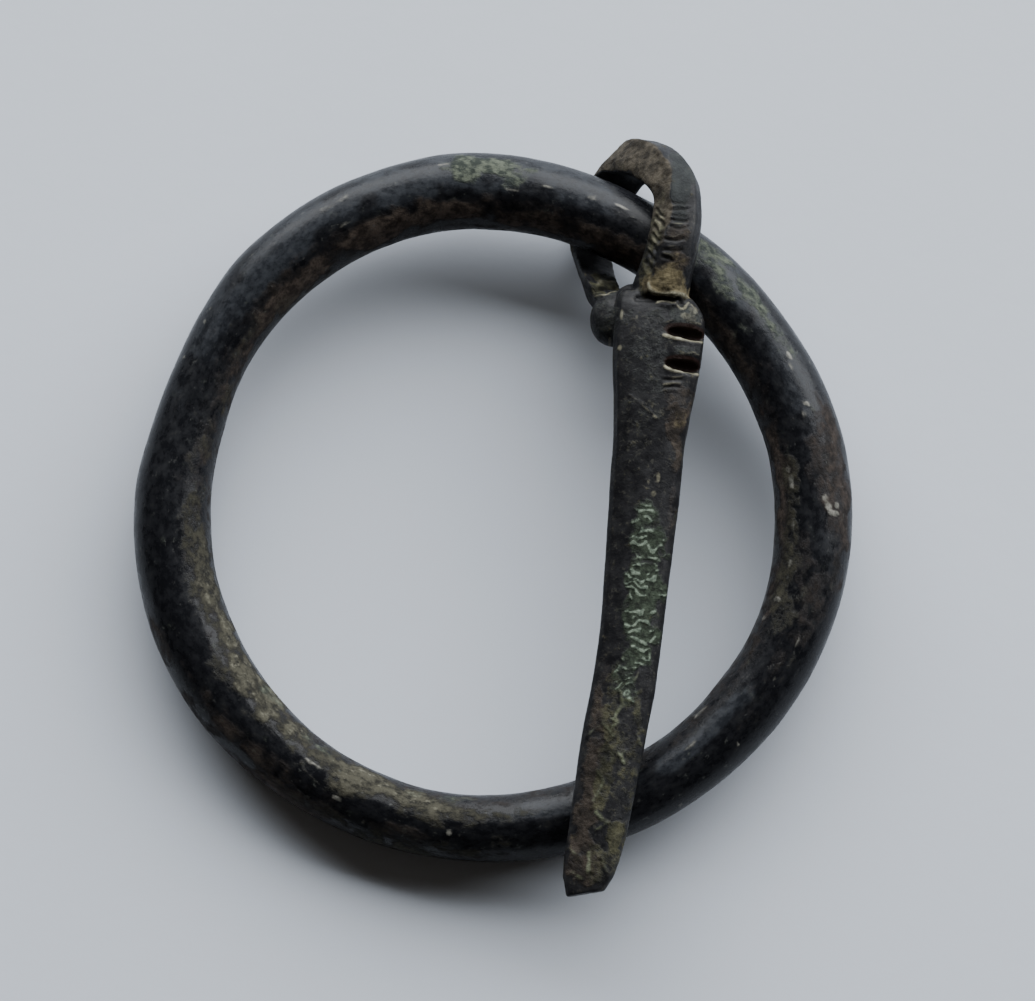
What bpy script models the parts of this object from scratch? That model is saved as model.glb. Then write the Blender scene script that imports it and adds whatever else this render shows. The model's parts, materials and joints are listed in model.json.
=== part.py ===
"""An annular brooch of dark copper alloy: an uneven ring, and a pin whose head is a loop round the ring.

Metres, +Z up. The brooch lies face up on the plane Z = 0, with the pin across the face of the ring. The loop
passes under the ring too, so it lifts that side of the ring a little off the plane.
"""

import math

import bmesh
import bpy
import numpy as np
from mathutils import Matrix, Vector

# The ring: the radius of its centre line and the thickness of its round bar, both as means.
RING_RADIUS = 0.0188
RING_THICKNESS = 0.0042
RING_SEGMENTS = 96
RING_BEVEL_RESOLUTION = 8

# Clock angle in degrees, then radius and thickness as shares of the means. The casting is uneven.
RING_SHAPE = (
    (0, 0.989, 1.08),
    (12, 0.984, 1.08),
    (30, 0.970, 1.02),
    (50, 0.968, 1.01),
    (62, 0.973, 0.99),
    (80, 0.994, 1.05),
    (95, 1.017, 1.09),
    (108, 1.024, 1.06),
    (120, 1.028, 1.05),
    (135, 1.023, 1.03),
    (152, 1.003, 0.94),
    (166, 0.995, 1.00),
    (178, 1.003, 1.08),
    (188, 1.004, 1.09),
    (212, 1.001, 1.09),
    (232, 0.994, 0.98),
    (260, 0.992, 0.91),
    (285, 0.992, 0.96),
    (312, 0.995, 0.99),
    (340, 0.998, 1.03),
)

# The loop of the pin's head turns about the ring's own centre line at this clock angle.
LOOP_ANGLE = math.radians(62.2)
LOOP_WIDTH = 0.0026
LOOP_THICKNESS = 0.0015
LOOP_STEPS = 60

# The loop's usual gap to the ring, and about how far it strays to each side along the ring.
LOOP_GAP = 0.0010
LOOP_SWAY = 0.0040

# The strip's outer face is narrower than its inner one: how far each side slopes in, as a share of the width,
# and how high the sloped side facing the eye begins, as a share of the thickness.
LOOP_EYE_SLOPE_SHARE = 0.36
LOOP_BACK_SLOPE_SHARE = 0.14
LOOP_EDGE_SHARE = 0.30

# Turn about the ring in degrees (90 is over it, 0 is outside it, -90 is under it), place along the ring as a
# share of the loop's sway, gap, width and thickness as shares of the loop's own, and how many degrees the strip
# leans over towards the eye.
LOOP_SHAPE = (
    (150, 0.88, 1.62, 1.38, 1.10, 0),
    (128, 0.79, 0.96, 1.24, 1.00, 0),
    (90, 0.65, 0.68, 1.15, 0.94, 0),
    (60, 0.47, 0.78, 1.10, 0.94, 3),
    (38, 0.24, 1.22, 1.01, 1.02, 8),
    (15, -0.18, 1.15, 0.96, 1.30, 18),
    (-5, -0.57, 1.04, 0.96, 1.42, 26),
    (-25, -0.76, 1.08, 1.06, 1.43, 27),
    (-50, -0.81, 1.02, 1.06, 1.10, 16),
    (-90, -0.77, 0.88, 1.00, 0.72, 0),
    (-120, -0.63, 0.85, 0.90, 0.76, 0),
    (-143, -0.41, 0.82, 0.90, 0.84, 0),
    (-163, -0.23, 0.98, 0.90, 0.90, 0),
    (-182, -0.01, 1.50, 0.86, 0.96, 0),
    (-196, 0.26, 2.40, 0.62, 0.80, 0),
)

# The pin runs across the ring, a little aslant, and rests on its far side. Its root, where the collar begins, is
# so much above the top of the ring and so far clear of it.
PIN_SKEW = math.radians(24.7)
PIN_OFFSET = 0.00221
PIN_WIDTH = 0.0052
PIN_THICKNESS = 0.0022
PIN_OVERHANG = 0.0053
PIN_ROOT_RISE = 0.00035
REST_GAP = 0.00035
COLLAR_GAP = 0.0009
COLLAR_LENGTH = 0.0068

# Share of the collar's length, then width and thickness as shares of the pin's own, and how far its left side
# stands out more than its right one, as a share of the width. It does so where the left side starts nearer the
# ring.
COLLAR_SHAPE = (
    (0.00, 0.66, 0.34, 0.110),
    (0.04, 0.82, 0.54, 0.080),
    (0.10, 0.91, 0.72, 0.050),
    (0.17, 0.98, 0.86, 0.020),
    (0.26, 1.00, 0.96, 0.005),
    (0.40, 1.00, 1.03, 0.000),
    (0.54, 0.99, 1.05, 0.000),
    (0.78, 0.94, 1.02, 0.000),
)

# Share of the stretch from the collar to the tip, then width, thickness, how far the pin has bent aside as a
# share of that stretch, and how high the ridge along its face stands.
SHAFT_SHAPE = (
    (0.00, 0.87, 1.00, 0.000, 0.0),
    (0.08, 0.80, 0.94, 0.000, 0.3),
    (0.16, 0.78, 0.90, 0.000, 0.6),
    (0.32, 0.73, 0.86, 0.000, 1.0),
    (0.44, 0.69, 0.84, 0.001, 1.0),
    (0.57, 0.70, 0.84, 0.006, 1.0),
    (0.70, 0.70, 0.84, 0.019, 1.0),
    (0.84, 0.65, 0.78, 0.029, 1.0),
    (0.93, 0.60, 0.68, 0.038, 1.0),
    (0.97, 0.54, 0.58, 0.042, 0.8),
    (1.00, 0.42, 0.42, 0.044, 0.5),
)
SHAFT_STEPS = 44
STEP_GROWTH = 1.25

# The tip is cut off aslant: by how much, and over what length the sections turn to it.
TIP_SLANT = math.radians(14)
TIP_LENGTH = 0.0018

# Corners of the pin's section as shares of its width and thickness, first where it is flat, then where a low
# ridge runs along it.
FLAT_SECTION = (
    (-0.28, -0.50),
    (0.28, -0.50),
    (0.44, -0.30),
    (0.50, -0.04),
    (0.49, 0.16),
    (0.41, 0.36),
    (0.24, 0.48),
    (0.00, 0.50),
    (-0.26, 0.49),
    (-0.43, 0.37),
    (-0.50, 0.14),
    (-0.50, -0.06),
    (-0.44, -0.30),
)
RIDGED_SECTION = (
    (-0.28, -0.50),
    (0.28, -0.50),
    (0.44, -0.34),
    (0.50, -0.12),
    (0.49, 0.06),
    (0.42, 0.22),
    (0.24, 0.38),
    (0.02, 0.50),
    (-0.22, 0.38),
    (-0.42, 0.20),
    (-0.50, 0.04),
    (-0.50, -0.12),
    (-0.44, -0.34),
)

# Lumps joined to the collar: the knob where the loop's end comes home, and the web in the crotch between the
# loop's two branches. For each its half sizes, then how far along, aside and above the pin's root it sits, all
# as shares of the pin's width.
LUMPS = (
    ("knob_form", (0.290, 0.315, 0.240), 0.301, -0.520, -0.200),
    ("web_form", (0.260, 0.320, 0.170), 0.216, -0.330, -0.125),
)

# Two notches in the collar's right shoulder, each a hollow with pointed ends that runs out over the edge. Their
# places are shares of the collar's length.
NOTCHES_ALONG = (0.385, 0.665)
NOTCH_LENGTH = 0.0021
NOTCH_HALF_WIDTH = 0.00040
NOTCH_DEPTH = 0.0010
NOTCH_SLANT = math.radians(-4)

# A groove across the loop's outer face where it comes down on the collar: the turns about the ring at its end
# near the eye and at the other, and how many times as long as the loop is wide its cutter is.
GROOVE_TURNS = (140, 136)
GROOVE_RADIUS = 0.00028
GROOVE_SPAN_SHARE = 1.23

# How deep it is worn flat under the ring and under the loop, where the brooch lies.
RING_FLAT_DEPTH = 0.00010
LOOP_FLAT_DEPTH = 0.00004
STEEPEST_LIE = math.radians(20)

LUMP_SEGMENTS = 20
GROOVE_SEGMENTS = 12
CROSSING_STEPS = 720
MERGE_DISTANCE = 1e-7
SMOOTH_ANGLE = math.radians(40)


def through(table, column, place, period=None):
    """The smooth curve through one column of a table, at a place. With a period, it closes on itself."""
    rows = np.array(table, float)
    knots, values = rows[:, 0], rows[:, column]
    if period:
        place = place % period
        knots = np.concatenate([knots - period, knots, knots + period])
        values = np.tile(values, 3)
    if knots[0] > knots[-1]:
        knots, values = knots[::-1], values[::-1]
    slopes = np.gradient(values, knots)
    i = int(np.clip(np.searchsorted(knots, place, side="right") - 1, 0, len(knots) - 2))
    span = knots[i + 1] - knots[i]
    f = (place - knots[i]) / span
    ends = values[i] * (1 + 2 * f) * (1 - f) ** 2 + values[i + 1] * f * f * (3 - 2 * f)
    turns = slopes[i] * f * (1 - f) ** 2 - slopes[i + 1] * f * f * (1 - f)
    return float(ends + span * turns)


def ring_centre(angle):
    """A point of the ring's centre line, in the ring's own plane."""
    radius = RING_RADIUS * through(RING_SHAPE, 1, math.degrees(angle), 360)
    return Vector((radius * math.cos(angle), radius * math.sin(angle), 0))


def ring_half_thickness(angle):
    return RING_THICKNESS / 2 * through(RING_SHAPE, 2, math.degrees(angle), 360)


def hinge_matrix():
    """The hinge's frame in the ring's plane: X along the ring, Y outwards, Z out of the ring's face."""
    step = math.radians(0.5)
    along = ring_centre(LOOP_ANGLE - step) - ring_centre(LOOP_ANGLE + step)
    along.normalize()
    up = Vector((0, 0, 1))
    outwards = up.cross(along)
    frame = Matrix((along, outwards, up)).transposed().to_4x4()
    frame.translation = ring_centre(LOOP_ANGLE)
    return frame


def collection(name):
    made = bpy.data.collections.new(name)
    bpy.context.scene.collection.children.link(made)
    return made


def empty(name, parent, matrix, where):
    made = bpy.data.objects.new(name, None)
    made.empty_display_size = RING_THICKNESS
    made.parent = parent
    made.matrix_local = matrix
    where.objects.link(made)
    return made


def mesh_object(name, bm, parent, where):
    """Turns the bmesh into a smooth-shaded object, with its faces pointing out."""
    bmesh.ops.recalc_face_normals(bm, faces=bm.faces)
    mesh = bpy.data.meshes.new(name)
    bm.to_mesh(mesh)
    bm.free()
    mesh.shade_smooth()
    mesh.set_sharp_from_angle(angle=SMOOTH_ANGLE)
    made = bpy.data.objects.new(name, mesh)
    made.parent = parent
    where.objects.link(made)
    return made


def loft(sections):
    """A closed skin over rings of as many points each, with a face on each end."""
    bm = bmesh.new()
    rings = [[bm.verts.new(point) for point in section] for section in sections]
    count = len(rings[0])
    for before, after in zip(rings, rings[1:]):
        for i in range(count):
            j = (i + 1) % count
            bm.faces.new((before[i], before[j], after[j], after[i]))
    bm.faces.new(rings[0])
    bm.faces.new(rings[-1])
    return bm


def material(name, colour, roughness, metallic):
    made = bpy.data.materials.new(name)
    made.use_nodes = True
    shader = made.node_tree.nodes["Principled BSDF"]
    shader.inputs["Base Color"].default_value = (*colour, 1)
    shader.inputs["Roughness"].default_value = roughness
    shader.inputs["Metallic"].default_value = metallic
    return made


def cut_or_join(target, other, operation):
    modifier = target.modifiers.new(f"{operation.lower()}_{other.name}", "BOOLEAN")
    modifier.operation = operation
    modifier.object = other
    other.hide_render = True
    other.display_type = "WIRE"


def ring_frame(parent, where):
    """The ring: a closed bar along its uneven centre line, made a mesh so that it can be cut."""
    curve = bpy.data.curves.new("ring_line", "CURVE")
    curve.dimensions = "3D"
    curve.bevel_depth = 1.0
    curve.bevel_resolution = RING_BEVEL_RESOLUTION
    spline = curve.splines.new("POLY")
    spline.points.add(RING_SEGMENTS - 1)
    spline.use_cyclic_u = True
    for i, point in enumerate(spline.points):
        angle = 2 * math.pi * i / RING_SEGMENTS
        point.co = (*ring_centre(angle), 1)
        point.radius = ring_half_thickness(angle)
    line = bpy.data.objects.new("ring_line", curve)
    where.objects.link(line)
    graph = bpy.context.evaluated_depsgraph_get()
    mesh = bpy.data.meshes.new_from_object(line.evaluated_get(graph))
    bm = bmesh.new()
    bm.from_mesh(mesh)
    bmesh.ops.remove_doubles(bm, verts=bm.verts, dist=MERGE_DISTANCE)
    bpy.data.objects.remove(line)
    return mesh_object("ring_frame", bm, parent, where)


def loop_point(turn):
    """The middle of the loop's strip at a turn about the hinge."""
    angle = math.radians(turn)
    thickness = LOOP_THICKNESS * through(LOOP_SHAPE, 4, turn)
    gap = LOOP_GAP * through(LOOP_SHAPE, 2, turn)
    reach = ring_half_thickness(LOOP_ANGLE) + gap + thickness / 2
    place = LOOP_SWAY * through(LOOP_SHAPE, 1, turn)
    return Vector((place, reach * math.cos(angle), reach * math.sin(angle)))


# Which corners of the strip's section bound its outer face, on the eye's side and on the other.
OUTER_EDGES = (5, 3)


def loop_section(turn):
    """The strip's section, widest at the ring and sloped on both sides, more so towards the eye."""
    middle = loop_point(turn)
    along = (loop_point(turn - 1) - loop_point(turn + 1)).normalized()
    outwards = Vector((1, 0, 0)).cross(along).normalized()
    lean = Matrix.Rotation(-math.radians(through(LOOP_SHAPE, 5, turn)), 3, along)
    outwards = lean @ outwards
    across = along.cross(outwards)
    width = LOOP_WIDTH * through(LOOP_SHAPE, 3, turn)
    thickness = LOOP_THICKNESS * through(LOOP_SHAPE, 4, turn)
    edge = thickness * (LOOP_EDGE_SHARE - 0.5)
    corners = (
        (-width / 2, -thickness / 2),
        (width / 2, -thickness / 2),
        (width / 2, edge + thickness * LOOP_EDGE_SHARE),
        (width * (0.5 - LOOP_BACK_SLOPE_SHARE), thickness / 2),
        (0, thickness / 2),
        (width * (LOOP_EYE_SLOPE_SHARE - 0.5), thickness / 2),
        (-width / 2, edge),
    )
    return [middle + x * across + z * outwards for x, z in corners]


def loop_sections():
    turns = np.linspace(LOOP_SHAPE[0][0], LOOP_SHAPE[-1][0], LOOP_STEPS + 1)
    return [loop_section(float(turn)) for turn in turns]


def root_length():
    """How far along the pin from the hinge its root is."""
    return ring_half_thickness(LOOP_ANGLE) + COLLAR_GAP


def root_height():
    """How far the middle of the pin's root is above the ring's plane."""
    return ring_half_thickness(LOOP_ANGLE) + PIN_ROOT_RISE


def at_root(along, aside, rise):
    """A place in the pin's frame, counted from its root in widths of the pin."""
    place = Vector((0, -root_length(), root_height()))
    return Matrix.Translation(place + PIN_WIDTH * Vector((aside, -along, rise)))


def pin_frame():
    """The pin's frame in the hinge's: X across it, Y back towards the loop, Z out of its face."""
    return Matrix.Translation((PIN_OFFSET, 0, 0)) @ Matrix.Rotation(PIN_SKEW, 4, "Z")


def crossing():
    """The clock angle where the pin crosses the ring's far side, and how far along the pin that is."""
    to_pin = pin_frame().inverted() @ hinge_matrix().inverted()
    best = None
    for turn in np.linspace(math.pi / 2, 3 * math.pi / 2, CROSSING_STEPS):
        angle = LOOP_ANGLE + float(turn)
        point = to_pin @ ring_centre(angle)
        length = -point.y
        before = length - root_length() - COLLAR_LENGTH
        stretch = before + PIN_OVERHANG
        if before <= 0:
            continue
        miss = abs(point.x + stretch * through(SHAFT_SHAPE, 3, before / stretch))
        if best is None or miss < best[0]:
            best = (miss, angle, length)
    return best[1], best[2]


def shaft_sections():
    """Sections of the collar and the shaft, from the collar's start to the tip, in the pin's frame."""
    angle, cross_length = crossing()
    start = root_length()
    tip = cross_length + PIN_OVERHANG
    collar_end = start + COLLAR_LENGTH
    stretch = tip - collar_end
    rows = [
        (start + share * COLLAR_LENGTH, width, thickness, -left * PIN_WIDTH, 0)
        for share, width, thickness, left in COLLAR_SHAPE
    ]
    rows += [
        (collar_end + share * stretch, width, thickness, -bend * stretch, ridge)
        for share, width, thickness, bend, ridge in SHAFT_SHAPE
    ]
    cross_thickness = PIN_THICKNESS * through(rows, 2, cross_length)
    cross_height = ring_half_thickness(angle) + REST_GAP + cross_thickness / 2
    rise = (cross_height - root_height()) / (cross_length - start)
    sections = []
    for share in np.linspace(0, 1, SHAFT_STEPS + 1):
        length = start + (tip - start) * float(share) ** STEP_GROWTH
        width = PIN_WIDTH * through(rows, 1, length)
        thickness = PIN_THICKNESS * through(rows, 2, length)
        aside = through(rows, 3, length)
        ridge = through(rows, 4, length)
        slant = TIP_SLANT * max(0, 1 - (tip - length) / TIP_LENGTH)
        middle = Vector((aside, -length, root_height() + rise * (length - start)))
        turned = Matrix.Rotation(slant, 3, "Z")
        sections.append([
            middle + turned @ Vector((
                width * (flat[0] + ridge * (ridged[0] - flat[0])),
                0,
                thickness * (flat[1] + ridge * (ridged[1] - flat[1])),
            ))
            for flat, ridged in zip(FLAT_SECTION, RIDGED_SECTION)
        ])
    return sections


def lump(name, half_sizes, hinge, helpers):
    """An ellipsoid with its middle at its origin."""
    bm = bmesh.new()
    bmesh.ops.create_uvsphere(bm, u_segments=LUMP_SEGMENTS, v_segments=LUMP_SEGMENTS // 2, radius=1)
    bmesh.ops.scale(bm, vec=half_sizes, verts=bm.verts)
    return mesh_object(name, bm, hinge, helpers)


def pin_forms(hinge, helpers):
    """The shaft with its collar, and the lumps beside it, which are all joined to the loop."""
    frame = pin_frame()
    shaft = mesh_object("shaft_form", loft(shaft_sections()), hinge, helpers)
    shaft.matrix_local = frame
    forms = [shaft]
    for name, half_shares, along, aside, rise in LUMPS:
        form = lump(name, PIN_WIDTH * Vector(half_shares), hinge, helpers)
        form.matrix_local = frame @ at_root(along, aside, rise)
        forms.append(form)
    return forms


def pin_cutters(hinge, helpers):
    """The notches in the collar's shoulder and the groove across the loop."""
    frame = pin_frame()
    cutters = []
    for i, share in enumerate(NOTCHES_ALONG):
        half_sizes = (NOTCH_LENGTH, NOTCH_HALF_WIDTH, NOTCH_DEPTH)
        cutter = lump(f"notch_cutter_{i + 1}", half_sizes, hinge, helpers)
        length = root_length() + share * COLLAR_LENGTH
        place = Matrix.Translation((PIN_WIDTH / 2, -length, root_height() + PIN_THICKNESS / 2))
        cutter.matrix_local = frame @ place @ Matrix.Rotation(NOTCH_SLANT, 4, "Z")
        cutters.append(cutter)
    bm = bmesh.new()
    bmesh.ops.create_cone(
        bm,
        cap_ends=True,
        segments=GROOVE_SEGMENTS,
        radius1=GROOVE_RADIUS,
        radius2=GROOVE_RADIUS,
        depth=LOOP_WIDTH * GROOVE_SPAN_SHARE,
    )
    groove = mesh_object("groove_cutter", bm, hinge, helpers)
    near, far = (loop_section(turn)[corner] for turn, corner in zip(GROOVE_TURNS, OUTER_EDGES))
    groove.matrix_local = (far - near).to_track_quat("Z", "Y").to_matrix().to_4x4()
    groove.location = (near + far) / 2
    cutters.append(groove)
    return cutters


def points_of(mesh, matrix):
    return np.array([matrix @ vertex.co for vertex in mesh.vertices])


def lying_matrix(ring_points, loop_points):
    """Tilts the ring just so far that the undersides of the loop and of the ring's far side reach Z = 0."""
    towards_loop = ring_centre(LOOP_ANGLE).normalized()
    axis = towards_loop.cross(Vector((0, 0, 1)))

    def lowest(points, tilt):
        third_row = np.array(Matrix.Rotation(tilt, 3, axis)[2])
        return float((points @ third_row).min())

    low, high = 0.0, STEEPEST_LIE
    for _ in range(40):
        tilt = (low + high) / 2
        above = lowest(loop_points, tilt) + LOOP_FLAT_DEPTH
        if above < lowest(ring_points, tilt) + RING_FLAT_DEPTH:
            low = tilt
        else:
            high = tilt
    drop = lowest(ring_points, tilt) + RING_FLAT_DEPTH
    return Matrix.Translation((0, 0, -drop)) @ Matrix.Rotation(tilt, 4, axis)


def floor_cutter(helpers):
    """All that is below Z = 0."""
    side = 6 * RING_RADIUS
    bm = bmesh.new()
    bmesh.ops.create_cube(bm, size=side, matrix=Matrix.Translation((0, 0, -side / 2)))
    return mesh_object("floor_cutter", bm, None, helpers)


def put_origin_under_middle(lying, objects):
    """Moves the brooch so that the middle of its box is over the origin."""
    bpy.context.view_layer.update()
    graph = bpy.context.evaluated_depsgraph_get()
    points = []
    for item in objects:
        evaluated = item.evaluated_get(graph)
        points.append(points_of(evaluated.to_mesh(), item.matrix_world))
        evaluated.to_mesh_clear()
    points = np.concatenate(points)
    middle = (points.min(axis=0) + points.max(axis=0)) / 2
    lying.matrix_local = Matrix.Translation((-middle[0], -middle[1], 0)) @ lying.matrix_local


def build():
    for old in list(bpy.data.objects):
        bpy.data.objects.remove(old)
    parts = collection("annular_brooch")
    helpers = collection("cutters")
    lying = empty("lying", None, Matrix.Identity(4), parts)
    hinge = empty("pin_hinge", lying, hinge_matrix(), parts)
    ring = ring_frame(lying, parts)
    pin = mesh_object("pin", loft(loop_sections()), hinge, parts)
    loop_points = points_of(pin.data, hinge_matrix())
    lying.matrix_local = lying_matrix(points_of(ring.data, Matrix.Identity(4)), loop_points)
    for form in pin_forms(hinge, helpers):
        cut_or_join(pin, form, "UNION")
    for cutter in pin_cutters(hinge, helpers):
        cut_or_join(pin, cutter, "DIFFERENCE")
    floor = floor_cutter(helpers)
    for item in (ring, pin):
        cut_or_join(item, floor, "DIFFERENCE")
    put_origin_under_middle(lying, (ring, pin))
    ring.data.materials.append(material("ring_metal", (0.030, 0.034, 0.040), 0.38, 0.75))
    pin.data.materials.append(material("pin_metal", (0.045, 0.045, 0.038), 0.50, 0.65))


build()
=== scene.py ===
"""The annular brooch on a pale table: the worn metal of its ring and its pin, the light and the camera."""

import functools
import itertools
import json
import math

import bpy
import numpy as np
from mathutils import Matrix, Vector
from mathutils.bvhtree import BVHTree


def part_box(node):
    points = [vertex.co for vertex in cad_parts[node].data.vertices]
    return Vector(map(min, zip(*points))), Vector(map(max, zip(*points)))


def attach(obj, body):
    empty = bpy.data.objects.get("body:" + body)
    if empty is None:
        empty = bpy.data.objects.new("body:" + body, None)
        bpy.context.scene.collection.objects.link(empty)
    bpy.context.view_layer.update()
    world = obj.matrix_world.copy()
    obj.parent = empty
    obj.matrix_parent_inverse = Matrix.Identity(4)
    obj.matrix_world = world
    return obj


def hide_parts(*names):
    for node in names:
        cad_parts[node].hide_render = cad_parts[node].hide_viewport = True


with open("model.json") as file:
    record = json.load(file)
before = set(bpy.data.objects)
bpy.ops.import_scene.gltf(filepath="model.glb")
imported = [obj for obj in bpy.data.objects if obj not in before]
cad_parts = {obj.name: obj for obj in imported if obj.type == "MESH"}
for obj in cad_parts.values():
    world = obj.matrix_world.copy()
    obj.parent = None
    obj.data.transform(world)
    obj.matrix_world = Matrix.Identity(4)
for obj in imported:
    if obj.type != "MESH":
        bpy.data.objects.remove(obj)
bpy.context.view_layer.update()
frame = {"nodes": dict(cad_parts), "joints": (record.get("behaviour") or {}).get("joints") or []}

MM = 0.001

# The noise repeats after so many cells, and its values at the cells' corners reach so far either way.
LATTICE = 48
NOISE_REACH = 1.6
# A pit is deepest up to the first distance from its middle and gone at the second, in cells.
PIT_RIM = (0.12, 0.42)

# The photograph's frame in pixels, the camera's angles in degrees, its distance and the point it looks at.
IMAGE_WIDTH = 1035
SENSOR_WIDTH = 36.0
FOCAL_PIXELS = 4259.0
CAMERA_ELEVATION = math.radians(77)
CAMERA_AZIMUTH = math.radians(15)
CAMERA_DISTANCE = 250 * MM
CAMERA_TARGET = Vector((1.4589, 1.3314, 1.0)) * MM

# One soft light, like a wide window: bearing and elevation in degrees, distance and size in metres, power in
# watts. A faint warm light comes from all sides.
WINDOW = {
    "bearing": 18,
    "elevation": 32,
    "distance": 0.8,
    "width": 2.4,
    "height": 0.7,
    "power": 36,
    "colour": (0.96, 0.98, 1.0),
}
ROOM_COLOUR = (1.0, 0.88, 0.76)
ROOM_STRENGTH = 0.04
TABLE_HALF = 1.5

# The ring's size, for places on it and for the grain of its patina.
BAR_RADIUS = 2.1 * MM
RING_RADIUS = 18.8 * MM
# The ring's surface: steps around it and around its bar, and how many of the solid's waves are kept each way.
AROUND = 1056
SECTION = 88
WAVES_AROUND = 56
WAVES_SECTION = 5

# The pin's surface: the size of its faces, how often it is smoothed, and how far each step goes out again.
PIN_VOXEL = 0.088 * MM
PIN_SMOOTHING = 46
PIN_SWELL = 0.52
# The loop is rounded more, up to where it nears the collar.
LOOP_SMOOTHING = 150
LOOP_SWELL = 0.506
LOOP_END = (1.0 * MM, 2.0 * MM)

# The pin's heading and its shift along the ring, seen from its hinge.
PIN_SKEW = math.radians(24.7)
PIN_OFFSET = 2.14 * MM


def smooth_step(value, low, high):
    share = np.clip((value - low) / (high - low), 0, 1)
    return share * share * (3 - 2 * share)


def noise(points, size, seed):
    """Smooth random values, most between -1 and 1, in lumps of about the given size."""
    table = np.random.default_rng(seed).uniform(-NOISE_REACH, NOISE_REACH, (LATTICE,) * 3)
    scaled = points / size
    cell = np.floor(scaled).astype(int)
    part = scaled - cell
    part = part * part * (3 - 2 * part)
    total = np.zeros(len(points))
    for corner in itertools.product((0, 1), repeat=3):
        weight = np.prod(np.where(corner, part, 1 - part), axis=1)
        total += weight * table[tuple((cell + corner).T % LATTICE)]
    return total


def rough_noise(points, size, seed, octaves=3):
    """Noise with finer and finer noise of half the strength on it."""
    return sum(noise(points, size / 2**i, seed + i) / 2**i for i in range(octaves))


def pits(points, size, seed):
    """One in the middle of scattered round hollows, nought between them."""
    spots = np.random.default_rng(seed).uniform(0, 1, (LATTICE, LATTICE, LATTICE, 3))
    scaled = points / size
    cell = np.floor(scaled).astype(int)
    nearest = np.full(len(points), 9.0)
    for step in itertools.product((-1, 0, 1), repeat=3):
        there = cell + step
        spot = there + spots[tuple(there.T % LATTICE)]
        nearest = np.minimum(nearest, np.linalg.norm(scaled - spot, axis=1))
    return 1 - smooth_step(nearest, *PIT_RIM)


def lumps(points, height, size, seed):
    return height * noise(points, size, seed)


def unit(vectors):
    return vectors / np.linalg.norm(vectors, axis=-1, keepdims=True)


def vertex_points(mesh):
    points = np.empty(len(mesh.vertices) * 3, np.float32)
    mesh.vertices.foreach_get("co", points)
    return points.reshape(-1, 3).astype(float)


def quads_of(mesh):
    """The corners of each face, as four columns. A voxel remesh has only faces of four corners."""
    corners = np.empty(len(mesh.loops), np.int32)
    mesh.loops.foreach_get("vertex_index", corners)
    return corners.reshape(-1, 4)


def vertex_normals(points, quads):
    corners = points[quads]
    faces = np.cross(corners[:, 2] - corners[:, 0], corners[:, 3] - corners[:, 1])
    normals = np.zeros_like(points)
    for column in quads.T:
        np.add.at(normals, column, faces)
    return unit(normals)


def surface_object(name, points, quads):
    mesh = bpy.data.meshes.new(name)
    mesh.from_pydata(points.tolist(), [], quads.tolist())
    mesh.shade_smooth()
    made = bpy.data.objects.new(name, mesh)
    bpy.context.scene.collection.objects.link(made)
    return made


def masked_object(name, points, quads, masks, grain):
    """A surface that keeps, for its material, its masks and the places in which noise is measured."""
    made = surface_object(name, points, quads)
    for mask, values in masks.items():
        attribute = made.data.attributes.new(mask, "FLOAT", "POINT")
        attribute.data.foreach_set("value", np.clip(values, 0, 1).astype(np.float32))
    attribute = made.data.attributes.new("grain", "FLOAT_VECTOR", "POINT")
    attribute.data.foreach_set("vector", grain.astype(np.float32).ravel())
    return made


class RingPlace:
    """The ring's own frame: the middle, X and Y in its plane, and Z out of its face."""

    def __init__(self):
        low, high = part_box("ring_frame")
        self.middle = np.array((low + high) / 2)
        points = vertex_points(frame["nodes"]["ring_frame"].data)
        axes = np.linalg.svd(points - points.mean(axis=0), full_matrices=False)[2]
        self.up = axes[2] * np.sign(axes[2][2])
        east = np.array((1.0, 0.0, 0.0))
        self.x = unit(east - self.up * self.up[0])
        self.y = np.cross(self.up, self.x)

    def outwards(self, angle):
        return self.x * math.cos(angle) + self.y * math.sin(angle)


def keep_waves(values, waves, axis):
    """The values around a closed line, with only so many of the longest waves kept."""
    spectrum = np.fft.rfft(values, axis=axis)
    count = np.arange(spectrum.shape[axis])
    gain = 1 - smooth_step(count, 0.75 * waves, waves + 1)
    shape = [1, 1]
    shape[axis] = -1
    return np.fft.irfft(spectrum * gain.reshape(shape), values.shape[axis], axis=axis)


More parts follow.
